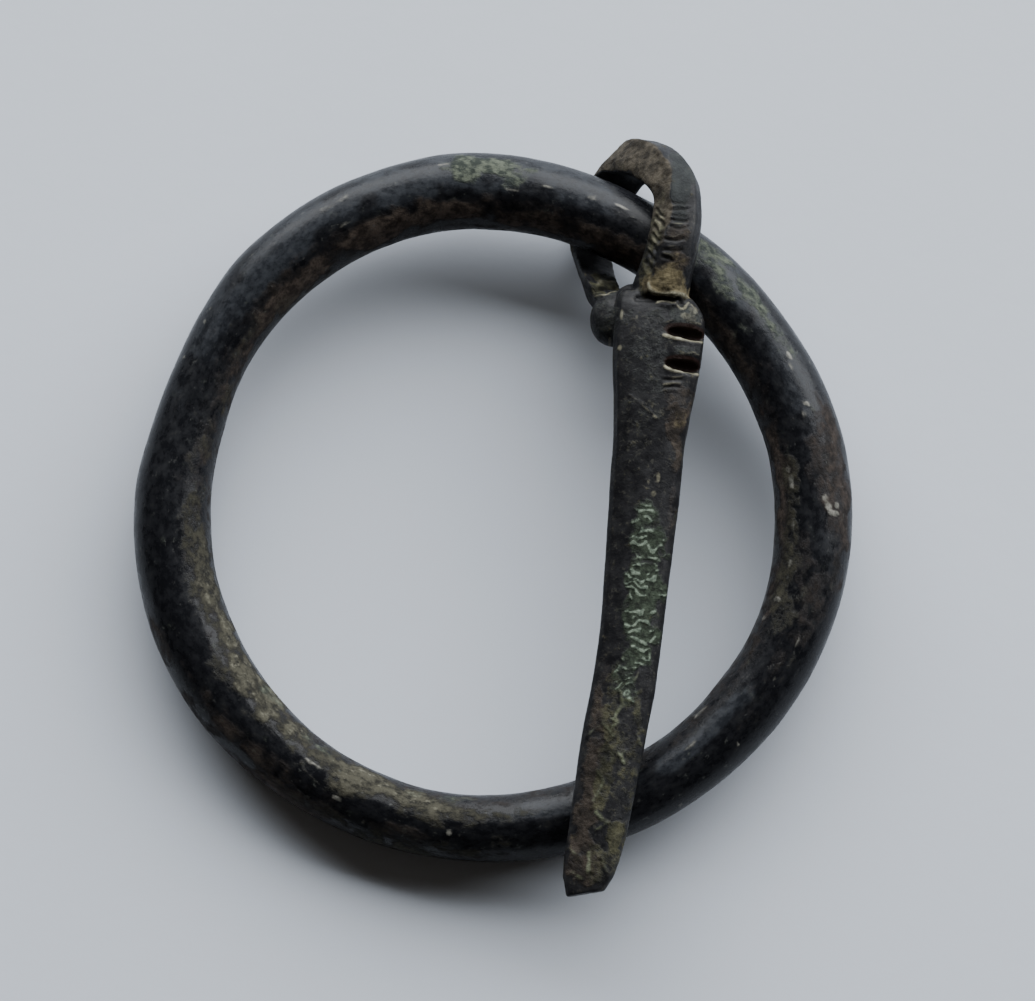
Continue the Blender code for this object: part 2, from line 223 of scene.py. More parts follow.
def ring_grid(place):
    """Points of the solid ring on an even grid, and the way out at each, free of the solid's flat faces."""
    node = frame["nodes"]["ring_frame"]
    tree = BVHTree.FromPolygons(
        [vertex.co for vertex in node.data.vertices],
        [face.vertices for face in node.data.polygons],
    )

    def reach(start, way):
        return tree.ray_cast(Vector(start), Vector(way))[3]

    low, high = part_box("ring_frame")
    guess = (high.x - low.x) / 2 - BAR_RADIUS
    angles = np.linspace(0, 2 * math.pi, AROUND, endpoint=False)
    turns = np.linspace(0, 2 * math.pi, SECTION, endpoint=False)
    radii = np.empty((AROUND, 1))
    for i, angle in enumerate(angles):
        out = place.outwards(angle)
        start = place.middle + out * guess
        radii[i] = guess + (reach(start, out) - reach(start, -out)) / 2
    radii = keep_waves(radii, WAVES_AROUND, 0)
    distances = np.empty((AROUND, SECTION))
    ways = np.empty((AROUND, SECTION, 3))
    centres = np.empty((AROUND, 3))
    for i, angle in enumerate(angles):
        out = place.outwards(angle)
        centres[i] = place.middle + out * radii[i]
        for j, turn in enumerate(turns):
            ways[i, j] = out * math.cos(turn) + place.up * math.sin(turn)
            distances[i, j] = reach(centres[i], ways[i, j])
    distances = keep_waves(distances, WAVES_AROUND, 0)
    distances = keep_waves(distances, WAVES_SECTION, 1)
    points = centres[:, None] + ways * distances[..., None]
    angle_grid, turn_grid = np.meshgrid(np.degrees(angles), np.degrees(turns), indexing="ij")
    return points.reshape(-1, 3), ways.reshape(-1, 3), angle_grid.ravel(), turn_grid.ravel()


def grid_quads():
    """The faces of a grid that closes on itself both ways."""
    i, j = np.meshgrid(np.arange(AROUND), np.arange(SECTION), indexing="ij")
    next_i = (i + 1) % AROUND
    next_j = (j + 1) % SECTION
    corners = (i * SECTION + j, next_i * SECTION + j, next_i * SECTION + next_j, i * SECTION + next_j)
    return np.stack([corner.ravel() for corner in corners], axis=1)


def turned(angle, middle):
    """How far an angle is from another, the short way round."""
    return (angle - middle + 180) % 360 - 180


# A patch on the ring is full up to the first share of its half sizes and gone at the second.
RING_PATCH_FADE = (0.35, 1.35)


def ring_patches(angle, turn, warp, patches):
    """A mask with soft ragged patches. Each patch: clock angle, turn, half length, half width, strength."""
    mask = np.zeros(len(angle))
    for middle, height, half_length, half_width, strength in patches:
        away = np.hypot(turned(angle, middle) / half_length, turned(turn, height) / half_width)
        mask = np.maximum(mask, strength * (1 - smooth_step(away + warp, *RING_PATCH_FADE)))
    return mask


# Patches on the ring: clock angle, turn around the bar (0 is outside, 90 on top, 180 inside), half length and
# half width in degrees, and strength.
EARTH_PATCHES = (
    (174, 126, 7, 16, 0.4),
    (182, 132, 7, 26, 0.6),
    (190, 134, 8, 34, 0.7),
    (199, 134, 8, 38, 0.75),
    (207, 142, 8, 34, 0.8),
    (215, 140, 9, 38, 0.9),
    (223, 138, 9, 40, 0.95),
    (230, 132, 8, 38, 0.85),
    (238, 130, 7, 32, 0.65),
    (247, 120, 10, 34, 0.9),
    (257, 116, 9, 32, 0.85),
    (266, 110, 8, 22, 0.6),
    (273, 106, 6, 14, 0.35),
    (237, 36, 4, 16, 0.45),
    (244, 44, 4, 18, 0.55),
    (251, 30, 3.2, 22, 0.7),
    (257, 26, 3.6, 22, 0.7),
    (262, 50, 2.6, 16, 0.65),
    (266, 38, 3.4, 16, 0.6),
    (272, 58, 2.6, 14, 0.5),
    (176, 148, 7, 14, 0.4),
    (167, 144, 9, 14, 0.45),
    (158, 155, 7, 14, 0.55),
    (146, 138, 7, 14, 0.35),
    (137, 154, 6, 16, 0.4),
    (2, 124, 6, 14, 0.65),
    (354, 122, 6, 14, 0.6),
    (345, 122, 6, 18, 0.65),
    (338, 108, 5, 26, 0.55),
    (332, 60, 3, 12, 0.3),
)
GREEN_PATCHES = (
    (93, 64, 3.6, 28, 0.9),
    (89, 62, 4, 24, 0.8),
    (85, 72, 2.8, 24, 0.65),
    (97, 62, 2.2, 12, 0.5),
    (82.5, 62, 2, 10, 0.7),
    (49, 55, 6, 28, 0.6),
    (44, 70, 5, 18, 0.6),
    (38, 50, 6, 22, 0.65),
    (30, 56, 7, 18, 0.5),
    (41, 86, 3, 14, 0.4),
    (222, 152, 5, 12, 0.35),
    (233, 140, 6, 14, 0.4),
    (262, 140, 8, 12, 0.3),
)
# Brown film. The full patches on the bar's inner top, clock angles 66 to 130, take the pale umber: painted
# fill light on that shaded side, over a real brown film.
BROWN_PATCHES = (
    (172, 138, 12, 26, 0.5),
    (151, 148, 16, 26, 0.7),
    (130, 146, 16, 28, 0.85),
    (112, 140, 13, 28, 1.0),
    (97, 138, 14, 28, 1.0),
    (82, 138, 12, 28, 1.0),
    (66, 138, 12, 28, 0.9),
    (30, 140, 22, 24, 0.7),
    (4, 140, 14, 22, 0.75),
    (340, 140, 14, 20, 0.6),
    (203, 30, 8, 20, 0.6),
    (214, 22, 7, 22, 0.6),
    (226, 55, 10, 26, 0.75),
    (232, 28, 10, 30, 0.8),
    (241, 40, 6, 26, 0.7),
    (257, 50, 9, 24, 0.55),
    (267, 32, 8, 20, 0.5),
    (14, 36, 9, 24, 0.45),
    (6, 46, 9, 34, 0.65),
    (359, 40, 8, 32, 0.65),
    (351, 36, 8, 26, 0.45),
    (340, 62, 9, 44, 0.5),
    (333, 86, 6, 26, 0.3),
    (346, 100, 7, 20, 0.4),
    (325, 74, 8, 20, 0.25),
)

# Where the black patina is painted a bluish dark grey: partly worn patina, partly painted sheen where the
# window's highlight lies along the bar.
GREY_AND_SHEEN_PATCHES = (
    (76, 66, 18, 40, 0.7),
    (100, 74, 20, 44, 1.0),
    (125, 76, 20, 42, 0.9),
    (148, 76, 16, 42, 0.6),
    (40, 62, 18, 36, 0.8),
    (20, 66, 12, 34, 0.6),
    (308, 98, 12, 16, 0.9),
    (284, 112, 10, 22, 0.8),
    (350, 60, 12, 40, 0.3),
)

# Small pale marks on the ring: the same measures. Most are short streaks along it; the long one at clock
# angle 236.8 is a painted glint.
PALE_MARKS = (
    (118.5, 68, 2.0, 7, 0.4),
    (115.5, 66, 1.6, 6, 0.4),
    (117.5, 105, 1.8, 4, 0.5),
    (97.5, 58, 1.6, 4, 0.6),
    (79, 82, 1.8, 3, 0.8),
    (85, 98, 1.4, 3, 0.5),
    (65, 70, 1.6, 4, 0.9),
    (70.5, 76, 1.2, 3, 0.5),
    (62.5, 78, 1.0, 3, 0.5),
    (24.5, 62, 0.9, 4, 1.0),
    (22.5, 68, 1.1, 3, 0.6),
    (29.5, 66, 1.4, 3, 0.4),
    (15.3, 70, 0.5, 4, 0.9),
    (13.6, 80, 1.2, 3, 0.9),
    (1.6, 121, 1.4, 4, 0.7),
    (4.4, 124, 0.8, 4, 0.5),
    (358.8, 70, 0.5, 4, 0.6),
    (357.7, 51, 0.5, 4, 0.7),
    (356.3, 57, 0.35, 9, 0.9),
    (357.2, 66, 0.6, 4, 0.8),
    (353.5, 120, 1.4, 3, 0.5),
    (346.5, 118, 1.0, 4, 0.6),
    (339.5, 124, 0.5, 8, 0.6),
    (335.5, 142, 0.8, 4, 0.5),
    (334, 68, 1.4, 3, 0.6),
    (326.6, 73, 0.5, 4, 0.5),
    (314.6, 52, 0.35, 5, 0.7),
    (314, 140, 1.8, 4, 0.5),
    (308.5, 102, 1.4, 4, 0.6),
    (301.5, 22, 0.4, 6, 0.5),
    (263.4, 72, 0.6, 6, 0.9),
    (265.2, 70, 0.4, 5, 0.5),
    (262.0, 58, 0.4, 5, 0.5),
    (249, 56, 0.4, 8, 0.5),
    (256, 64, 0.5, 5, 0.4),
    (268.4, 38, 0.5, 5, 0.4),
    (243.5, 75, 0.9, 4, 0.6),
    # A painted glint.
    (236.8, 105, 2.4, 3, 0.9),
    (185.5, 84, 0.5, 3, 0.4),
    (187.6, 84, 0.5, 3, 0.4),
    (154, 46, 0.5, 8, 0.5),
    (147, 53, 0.45, 5, 0.6),
    (144.7, 51, 0.4, 4, 0.6),
)

# Low edges between the bar's long facets: clock angle where each begins and ends, turn there, and height.
FACET_EDGES = (
    (58, 124, 98, 108, 0.04 * MM),
    (124, 176, 108, 120, 0.03 * MM),
    (196, 240, 112, 104, 0.05 * MM),
    (240, 290, 98, 88, 0.06 * MM),
    (296, 332, 104, 96, 0.05 * MM),
)
FACET_EDGE_WIDTH = 0.22 * MM
# Such an edge rises and falls over this share of its length at each end.
FACET_EDGE_ENDS = 0.15

# Noise on the ring is stretched so much along it.
STREAK_STRETCH = 1.5
# Earth and wear lie on the bar's inner side all round: how strong, and at which turns they set in and end.
INNER_GRIME = 0.35
INNER_GRIME_START = (98, 132)
INNER_GRIME_END = (190, 215)

# Unevenness of the ring's surface: height, size of its lumps and the noise's seed.
RING_LUMPS = (0.026 * MM, 3.1 * MM, 21)
RING_RIPPLES = (0.010 * MM, 0.9 * MM, 22)
# A crust's own thickness, then the height, size and seed of its crumbs.
CRUST_THICKNESS = 0.010 * MM
RING_CRUMBS = (0.018 * MM, 0.45 * MM, 31)
# Depth, spacing and seed of the pits. They come in clusters, and bare metal has fewer.
RING_PITS = (0.045 * MM, 0.62 * MM, 41)
PIT_CLUSTERS = (2.2 * MM, 42)
BARE_PITTING = 0.25
PALE_MARK_HEIGHT = 0.03 * MM


def unrolled(angle, turn):
    """Places in which the ring's length is shortened, so that noise there becomes streaks along the ring."""
    angle = np.radians(angle)
    length = RING_RADIUS / STREAK_STRETCH
    height = np.radians((turn + 90) % 360) * BAR_RADIUS
    return np.stack([length * np.cos(angle), length * np.sin(angle), height], axis=1)


def ring_masks(points, flat, angle, turn):
    """Where each patina and deposit lies on the ring, and where a sheen, a glint and fill light are painted.
    """
    warp = 0.30 * rough_noise(flat, 0.9 * MM, 11, 4) + 0.2 * noise(points, 2.4 * MM, 12)
    masks = {
        "earth": ring_patches(angle, turn, warp, EARTH_PATCHES),
        "green": ring_patches(angle, turn, warp, GREEN_PATCHES),
        "brown": ring_patches(angle, turn, warp, BROWN_PATCHES),
        "grey": ring_patches(angle, turn, warp, GREY_AND_SHEEN_PATCHES),
        "pale": ring_patches(angle, turn, 0.9 * warp, PALE_MARKS),
    }
    inner = smooth_step(turn, *INNER_GRIME_START) * (1 - smooth_step(turn, *INNER_GRIME_END))
    masks["brown"] = np.maximum(masks["brown"], INNER_GRIME * inner)
    return masks


def facet_edges(angle, turn):
    """The height of the low edges between the bar's facets."""
    heights = np.zeros(len(angle))
    for first, last, turn_first, turn_last, height in FACET_EDGES:
        share = np.clip((angle - first) / (last - first), 0, 1)
        inside = smooth_step(share, 0, FACET_EDGE_ENDS) * (1 - smooth_step(share, 1 - FACET_EDGE_ENDS, 1))
        across = np.radians(turned(turn, turn_first + share * (turn_last - turn_first))) * BAR_RADIUS
        heights += height * inside * np.exp(-np.abs(across) / FACET_EDGE_WIDTH)
    return heights


def ring_relief(points, flat, masks):
    """How far the crusts, crumbs, pits and marks stand out of the ring or go into it."""
    crust = np.clip(masks["earth"] + masks["green"] + 0.5 * masks["brown"], 0, 1)
    height, size, seed = RING_CRUMBS
    crumbs = crust * (CRUST_THICKNESS + height * rough_noise(flat, size, seed))
    depth, spacing, seed = RING_PITS
    hollows = -depth * pits(points, spacing, seed) * (BARE_PITTING + (1 - BARE_PITTING) * crust)
    hollows *= smooth_step(noise(points, *PIT_CLUSTERS), -0.3, 0.5)
    uneven = lumps(points, *RING_LUMPS) + lumps(flat, *RING_RIPPLES)
    return uneven + crumbs + hollows + PALE_MARK_HEIGHT * masks["pale"]


def ring_surface(place):
    points, ways, angle, turn = ring_grid(place)
    flat = unrolled(angle, turn)
    masks = ring_masks(points, flat, angle, turn)
    relief = ring_relief(points, flat, masks) + facet_edges(angle, turn)
    points = points + ways * relief[:, None]
    points[:, 2] = np.maximum(points[:, 2], 0)
    return masked_object("ring_surface", points, grid_quads(), masks, flat)


class PinPlace:
    """The pin's frame at its hinge: back along the pin, across it, along the ring, and out of its face."""

    def __init__(self, ring):
        joint = frame["joints"][0]
        self.along_ring = unit(-np.array(joint["axis"]))
        self.up = ring.up
        self.start = np.array(joint["pos_m"]) + PIN_OFFSET * self.along_ring
        away = np.cross(self.up, self.along_ring)
        cos, sin = math.cos(PIN_SKEW), math.sin(PIN_SKEW)
        self.across = cos * self.along_ring + sin * away
        self.back = cos * away - sin * self.along_ring

    def measure(self, points):
        """How far along the pin from its hinge each point lies, and how far across it."""
        from_start = points - self.start
        return -from_start @ self.back, from_start @ self.across


def relaxed(points, quads, rounds, swell):
    """Values at the corners, smoothed by steps in and out in turn, so that a surface doesn't shrink."""
    edges = np.concatenate([quads[:, [0, 1]], quads[:, [1, 2]], quads[:, [2, 3]], quads[:, [3, 0]]])
    counts = np.bincount(edges[:, 0], minlength=len(points))
    for _ in range(rounds):
        for strength in (0.5, -swell):
            sums = np.stack(
                [np.bincount(edges[:, 0], points[edges[:, 1], k], len(points)) for k in range(3)], axis=1
            )
            points = points + strength * (sums / counts[:, None] - points)
    return points


def stroke(along, across, half_width, places):
    """One along a bent line between places on the pin, falling to nought at its sides."""
    mask = np.zeros(len(along))
    for (first_s, first_b), (last_s, last_b) in itertools.pairwise(places):
        run = np.array((last_s - first_s, last_b - first_b)) * MM
        away = np.stack([along - first_s * MM, across - first_b * MM], axis=1)
        share = np.clip(away @ run / (run @ run), 0, 1)
        distance = np.linalg.norm(away - share[:, None] * run, axis=1)
        mask = np.maximum(mask, np.exp(-((distance / (half_width * MM)) ** 2)))
    return mask


# Cuts in the pin: half width, depth, and places by length from the hinge and by side, all in millimetres.
CARVED_STROKES = (
    (0.07, 0.05, ((-2.14, 0.15), (-2.08, 1.02))),
    (0.08, 0.07, ((-1.65, 0.20), (-1.69, 1.06))),
    (0.07, 0.06, ((-1.26, 0.24), (-1.21, 1.05))),
    (0.10, 0.10, ((-0.94, 0.24), (-0.96, 1.12))),
    (0.08, 0.08, ((-0.57, 0.31), (-0.45, 0.80), (-0.60, 1.23))),
    (0.09, 0.09, ((0.26, -0.03), (0.30, 0.50), (0.10, 1.01))),
    (0.08, 0.07, ((0.86, 0.04), (0.94, 0.50), (0.80, 0.95))),
    (0.08, 0.07, ((1.20, -0.05), (1.48, 0.59))),
    (0.08, 0.08, ((-1.78, -0.68), (-1.20, -0.15))),
    (0.08, 0.09, ((-1.30, -0.65), (-0.62, -0.15))),
    (0.08, 0.09, ((-0.75, -0.72), (-0.15, -0.28))),
    (0.08, 0.09, ((-0.23, -0.80), (0.32, -0.30))),
    (0.08, 0.09, ((0.30, -0.86), (0.85, -0.36))),
    (0.08, 0.09, ((0.92, -0.93), (1.35, -0.50))),
    (0.08, 0.08, ((1.45, -1.12), (1.88, -0.70))),
    (0.07, 0.09, ((3.40, -0.50), (3.48, 0.00), (3.49, 0.85), (3.56, 1.25))),
    (0.09, 0.07, ((3.68, 1.22), (3.74, 1.42))),
    (0.07, 0.05, ((8.36, 0.74), (8.26, 1.60))),
    (0.07, 0.05, ((8.84, 0.70), (8.72, 1.60))),
    (0.13, 0.16, ((2.94, -4.10), (2.40, -2.88))),
)

# Raised lips beside the cuts, and other raised lines: half width, height, paleness and places.
RAISED_STROKES = (
    (0.13, 0.07, 1.0, ((2.78, -0.72), (3.14, -0.59), (3.32, -0.07), (3.36, 0.85))),
    (0.11, 0.05, 0.8, ((3.36, 0.85), (3.26, 1.51))),
    (0.10, 0.05, 0.9, ((3.78, -0.14), (3.74, 0.40), (3.76, 0.90))),
    (0.08, 0.05, 0.85, ((3.72, 0.95), (3.84, 1.06), (4.00, 1.28), (3.92, 1.50), (3.60, 1.62))),
    (0.09, 0.04, 0.5, ((3.70, 1.78), (4.02, 2.04), (4.35, 2.18))),
    (0.08, 0.03, 0.45, ((4.25, 1.45), (4.60, 1.58))),
    (0.07, 0.03, 0.4, ((4.10, 1.84), (4.38, 1.66))),
    (0.11, 0.055, 1.0, ((5.68, 0.36), (5.88, 0.96), (5.84, 1.70), (5.84, 2.56))),
    (0.11, 0.055, 1.0, ((7.50, 0.64), (7.74, 0.97), (7.80, 1.60), (7.72, 2.48))),
    (0.08, 0.03, 0.3, ((5.05, 0.35), (4.87, 0.85))),
    (0.08, 0.03, 0.45, ((4.82, 1.80), (4.82, 2.40))),
    (0.08, 0.03, 0.55, ((6.65, 1.52), (6.65, 2.46))),
    (0.09, 0.03, 0.4, ((8.21, 0.76), (8.09, 1.61))),
    (0.10, 0.05, 0.65, ((8.68, 0.68), (8.48, 1.62))),
    (0.07, 0.02, 0.35, ((9.03, 0.71), (8.96, 1.21))),
    (0.08, 0.03, 0.35, ((9.47, -1.24), (10.42, 0.19))),
    (0.09, 0.03, 0.7, ((10.58, 0.28), (10.68, 0.44))),
    (0.19, 0.05, 0.4, ((2.58, -3.97), (2.16, -3.67), (1.89, -3.03))),
    (0.08, 0.05, 0.75, ((3.33, -4.04), (3.24, -3.14), (2.75, -2.83))),
    (0.07, 0.03, 0.3, ((-1.92, 0.22), (-1.88, 1.00))),
    (0.07, 0.03, 0.45, ((-0.74, 0.33), (-0.78, 0.96))),
    (0.07, 0.03, 0.35, ((0.08, -0.02), (0.10, 0.45), (-0.19, 0.95))),
    (0.07, 0.03, 0.4, ((0.70, 0.20), (0.63, 0.70))),
    (0.07, 0.03, 0.4, ((1.02, 0.05), (1.22, 0.55))),
    (0.09, 0.04, 0.45, ((-1.99, -0.69), (-1.49, -0.22))),
    (0.10, 0.04, 0.55, ((-1.55, -0.64), (-0.91, -0.10))),
    (0.10, 0.04, 0.55, ((-1.05, -0.65), (-0.36, -0.24))),
    (0.09, 0.04, 0.5, ((-0.44, -0.79), (0.04, -0.34))),
    (0.09, 0.04, 0.5, ((-0.03, -0.81), (0.59, -0.28))),
    (0.09, 0.04, 0.45, ((0.63, -0.89), (1.09, -0.44))),
    (0.09, 0.04, 0.4, ((1.21, -0.97), (1.60, -0.59))),
    (0.09, 0.04, 0.35, ((1.68, -1.27), (2.15, -0.82))),
)

# Raised lines of pale corrosion on the lower pin: the same measures.
GROWN_STROKES = (
    (0.12, 0.04, 0.7, ((26.48, -0.24), (26.97, -0.11), (27.07, 0.38))),
    (0.14, 0.05, 0.9, ((26.97, -0.11), (27.30, -0.05), (27.89, -0.35))),
    (0.13, 0.05, 1.0, ((28.06, -0.50), (28.32, -0.19), (28.63, -0.45))),
    (0.11, 0.04, 0.6, ((28.50, -1.04), (28.90, -0.60), (29.19, -0.31))),
    (0.10, 0.03, 0.4, ((29.19, -1.98), (28.50, -1.04))),
    (0.13, 0.04, 0.75, ((29.98, -0.09), (30.20, 0.20), (30.50, 0.36))),
    (0.10, 0.03, 0.45, ((30.15, 0.10), (29.85, 0.34))),
    (0.12, 0.03, 0.45, ((29.85, -0.33), (30.59, -0.43))),
    (0.14, 0.04, 0.55, ((31.12, -1.12), (31.59, -0.70), (32.42, -0.92), (32.84, -1.12))),
    (0.15, 0.04, 0.75, ((33.47, -0.94), (33.86, -0.62))),
    (0.13, 0.04, 0.7, ((34.07, -0.36), (34.44, -0.81))),
    (0.13, 0.04, 0.85, ((35.84, -1.17), (36.30, -1.10), (36.88, -1.12))),
    (0.14, 0.03, 0.6, ((37.02, -1.97), (37.23, -1.46))),
    (0.08, 0.03, 0.5, ((35.66, -2.45), (36.00, -1.90), (36.35, -1.54))),
    (0.14, 0.03, 0.4, ((36.01, -0.44), (36.70, -0.14))),
    (0.10, 0.03, 0.45, ((27.20, 0.80), (27.70, 0.95))),
    (0.10, 0.03, 0.35, ((28.90, 0.85), (29.40, 1.10))),
    (0.10, 0.03, 0.4, ((24.60, -0.30), (25.20, -0.55))),
    (0.10, 0.03, 0.4, ((25.40, 0.75), (25.90, 0.55))),
)

# Patches on the pin: length from the hinge and side of its middle, half sizes, and strength.
PIN_GREEN = (
    (16.3, 0.45, 1.0, 0.85, 0.85),
    (18.0, 0.58, 1.6, 1.05, 1.0),
    (20.2, 0.66, 2.0, 1.05, 1.0),
    (22.4, 0.42, 1.8, 1.20, 1.0),
    (24.2, 0.50, 1.2, 0.75, 0.9),
    (26.0, 0.10, 1.4, 0.75, 0.55),
)
PIN_OLIVE = (
    (27.4, -0.50, 2.0, 0.50, 0.5),
    (29.6, -0.50, 2.2, 0.45, 0.65),
    (32.0, -0.72, 2.2, 0.48, 0.7),
    (34.7, 0.20, 1.1, 0.60, 0.9),
    (36.0, 0.45, 0.9, 0.45, 0.5),
    (30.5, 0.55, 4.5, 0.95, 0.32),
    (35.0, 0.30, 2.2, 1.10, 0.32),
    (36.2, -0.60, 1.4, 0.70, 0.5),
    (27.8, 0.90, 1.6, 0.45, 0.5),
    (30.6, 1.05, 1.6, 0.35, 0.35),
    (12.0, -0.80, 2.4, 1.10, 0.12),
    (1.6, -0.85, 1.8, 0.40, 0.6),
    (-0.6, -0.55, 1.6, 0.45, 0.5),
    (2.1, -3.45, 0.8, 0.90, 0.9),
    (3.3, -0.95, 0.8, 0.35, 0.6),
)
PIN_BROWN = (
    (9.3, 1.75, 0.8, 0.85, 0.5),
    (10.6, 1.70, 1.0, 0.65, 1.0),
    (12.4, 1.80, 1.4, 0.35, 0.65),
    (15.5, 1.70, 2.4, 0.22, 0.4),
    (26.5, -1.20, 2.0, 0.50, 0.3),
    (29.6, -1.35, 2.2, 0.60, 0.65),
    (32.0, -1.50, 2.4, 0.65, 0.9),
    (34.4, -1.50, 2.2, 0.85, 1.0),
    (36.4, -1.30, 1.5, 1.00, 0.75),
    (-0.2, 0.70, 0.8, 0.60, 0.55),
    (1.0, 0.90, 0.9, 0.80, 0.7),
)
PIN_OCHRE = (
    (2.75, 0.25, 0.80, 1.30, 1.0),
    (2.10, 0.35, 0.60, 1.00, 0.45),
    (3.00, 1.10, 0.45, 0.70, 0.9),
    (1.30, 0.90, 0.50, 0.50, 0.3),
    (10.6, 1.75, 0.60, 0.50, 0.4),
)
PIN_PALE = (
    (4.05, 1.95, 0.30, 0.30, 0.45),
    (4.50, 1.75, 0.35, 0.45, 0.4),
    (14.10, 0.82, 0.34, 0.15, 0.5),
    (15.02, 0.66, 0.24, 0.20, 0.55),
    (14.35, 0.30, 0.25, 0.12, 0.4),
    (4.62, -2.15, 0.36, 0.10, 0.5),
    (4.77, -1.25, 0.14, 0.12, 0.4),
    (6.64, -2.09, 0.18, 0.14, 0.6),
    (7.19, -0.74, 0.13, 0.12, 0.4),
    (6.04, -2.81, 0.28, 0.12, 0.6),
    (9.9, 0.10, 0.22, 0.14, 0.35),
    (10.2, 0.62, 0.15, 0.15, 0.3),
)
NOTCH_HOLLOWS = (
    (5.32, 1.62, 0.46, 1.40, 1.0),
    (7.22, 1.75, 0.46, 1.25, 1.0),
)
PIN_GREY = (
    (5.0, 0.00, 2.2, 1.80, 0.42),
    (7.6, -0.40, 2.4, 1.60, 0.38),
    (9.6, -0.60, 2.0, 1.40, 0.30),
    (4.4, -3.00, 1.6, 0.90, 0.50),
    (4.5, 1.60, 0.8, 0.90, 0.75),
    (6.5, 1.70, 0.4, 0.90, 0.6),
    (1.0, 0.60, 1.2, 0.60, 0.3),
    (2.4, -2.60, 0.5, 0.40, 0.4),
)
PIN_SMOOTH = (
    (-4.3, 0.60, 1.5, 1.00, 1.0),
    (-2.9, 0.62, 1.4, 0.70, 1.0),
    (-1.4, 0.68, 0.9, 0.48, 0.8),
)

# The loop's side that faces the eye begins and is full at these leans, blurred so often, and it fades out
# between these places along the pin.
EYE_SIDE_LEAN = (0.22, 0.60)
LEAN_SOFTENING = 18
EYE_SIDE_FADE = (-0.8 * MM, 1.2 * MM)
# The smooth grey patina stops where the surface leans more than this.
SMOOTH_LEAN = (0.30, 0.55)
# What faces up, by the upward share of its normal, has the deposits. The underside is plain.
FACING_UP = (-0.15, 0.25)

# A patch on the pin is full up to the first share of its half sizes and gone at the second.
PIN_PATCH_FADE = (0.55, 1.3)

# Unevenness of the pin's surface: height, size of its lumps and the noise's seed.
PIN_LUMPS = (0.018 * MM, 1.6 * MM, 61)
PIN_RIPPLES = (0.008 * MM, 0.7 * MM, 62)
PIN_CRUMBS = (0.018 * MM, 0.5 * MM, 73)
PIN_PITS = (0.04 * MM, 0.5 * MM, 72)
# Lines waver along and across the pin: how far, the size of the bends and the noise's seed.
WAVER_ALONG = (0.07 * MM, 0.6 * MM, 65)
WAVER_ACROSS = (0.07 * MM, 0.6 * MM, 66)

# Thin curls of corrosion: the spacing of the lines, their width as a share of it, and their height.
CURL_SPACING = 0.46 * MM
CURL_WIDTH = 0.24
CURL_HEIGHT = 0.045 * MM
# How deep the surface lies between the curls and in the notches' dark hollows.
GREEN_HOLLOW = 0.012 * MM
NOTCH_HOLLOW = 0.08 * MM


def pin_patches(along, across, warp, patches):
    mask = np.zeros(len(along))
    for length, side, half_length, half_width, strength in patches:
        away = np.hypot((along / MM - length) / half_length, (across / MM - side) / half_width)
        mask = np.maximum(mask, strength * (1 - smooth_step(away + warp, *PIN_PATCH_FADE)))
    return mask


def pin_form(place):
    """The solid pin with even small faces, so that fine relief can be cut into it."""
    source = bpy.data.objects.new("pin_form", frame["nodes"]["pin"].data.copy())
    bpy.context.scene.collection.objects.link(source)
    modifier = source.modifiers.new("even_faces", "REMESH")
    modifier.mode = "VOXEL"
    modifier.voxel_size = PIN_VOXEL
    graph = bpy.context.evaluated_depsgraph_get()
    mesh = bpy.data.meshes.new_from_object(source.evaluated_get(graph))
    points, quads = vertex_points(mesh), quads_of(mesh)
    bpy.data.objects.remove(source)
    firm = relaxed(points, quads, PIN_SMOOTHING, PIN_SWELL)
    rounded = relaxed(points, quads, LOOP_SMOOTHING, LOOP_SWELL)
    share = smooth_step(place.measure(firm)[0], *LOOP_END)[:, None]
    return share * firm + (1 - share) * rounded, quads


def curls(points, along):
    """One on thin wavy lines that run across the pin, nought between them."""
    bends = 0.75 * noise(points, 0.9 * MM, 81) + 0.35 * noise(points, 0.4 * MM, 82)
    place = (along / CURL_SPACING + bends) % 1 - 0.5
    broken = smooth_step(noise(points, 0.45 * MM, 83), -0.55, 0.15)
    return broken * np.exp(-((place / CURL_WIDTH) ** 2))


def pin_masks(place, points, normals, quads, facing):
    """Where each patina and deposit lies on the pin."""
    along, across = place.measure(points)
    warp = 0.35 * rough_noise(points, 0.9 * MM, 51, 4)
    masks = {
        "green": pin_patches(along, across, warp, PIN_GREEN),
        "olive": pin_patches(along, across, 1.2 * warp, PIN_OLIVE),
        "brown": pin_patches(along, across, 1.2 * warp, PIN_BROWN),
        "ochre": pin_patches(along, across, 0.5 * warp, PIN_OCHRE),
        "pale": pin_patches(along, across, 0.6 * warp, PIN_PALE),
        "hollow": pin_patches(along, across, 0.2 * warp, NOTCH_HOLLOWS),
        "grey": pin_patches(along, across, warp, PIN_GREY),
        "smooth": pin_patches(along, across, 0.4 * warp, PIN_SMOOTH),
    }
    lean = relaxed(normals, quads, LEAN_SOFTENING, 0) @ place.along_ring
    masks["smooth"] *= 1 - smooth_step(np.abs(lean), *SMOOTH_LEAN)
    masks["eye_side"] = smooth_step(-lean + 0.32 * warp, *EYE_SIDE_LEAN)
    masks["eye_side"] *= 1 - smooth_step(along, *EYE_SIDE_FADE)
    masks["curl"] = masks["green"] * curls(points, along)
    return {name: mask * facing for name, mask in masks.items()}


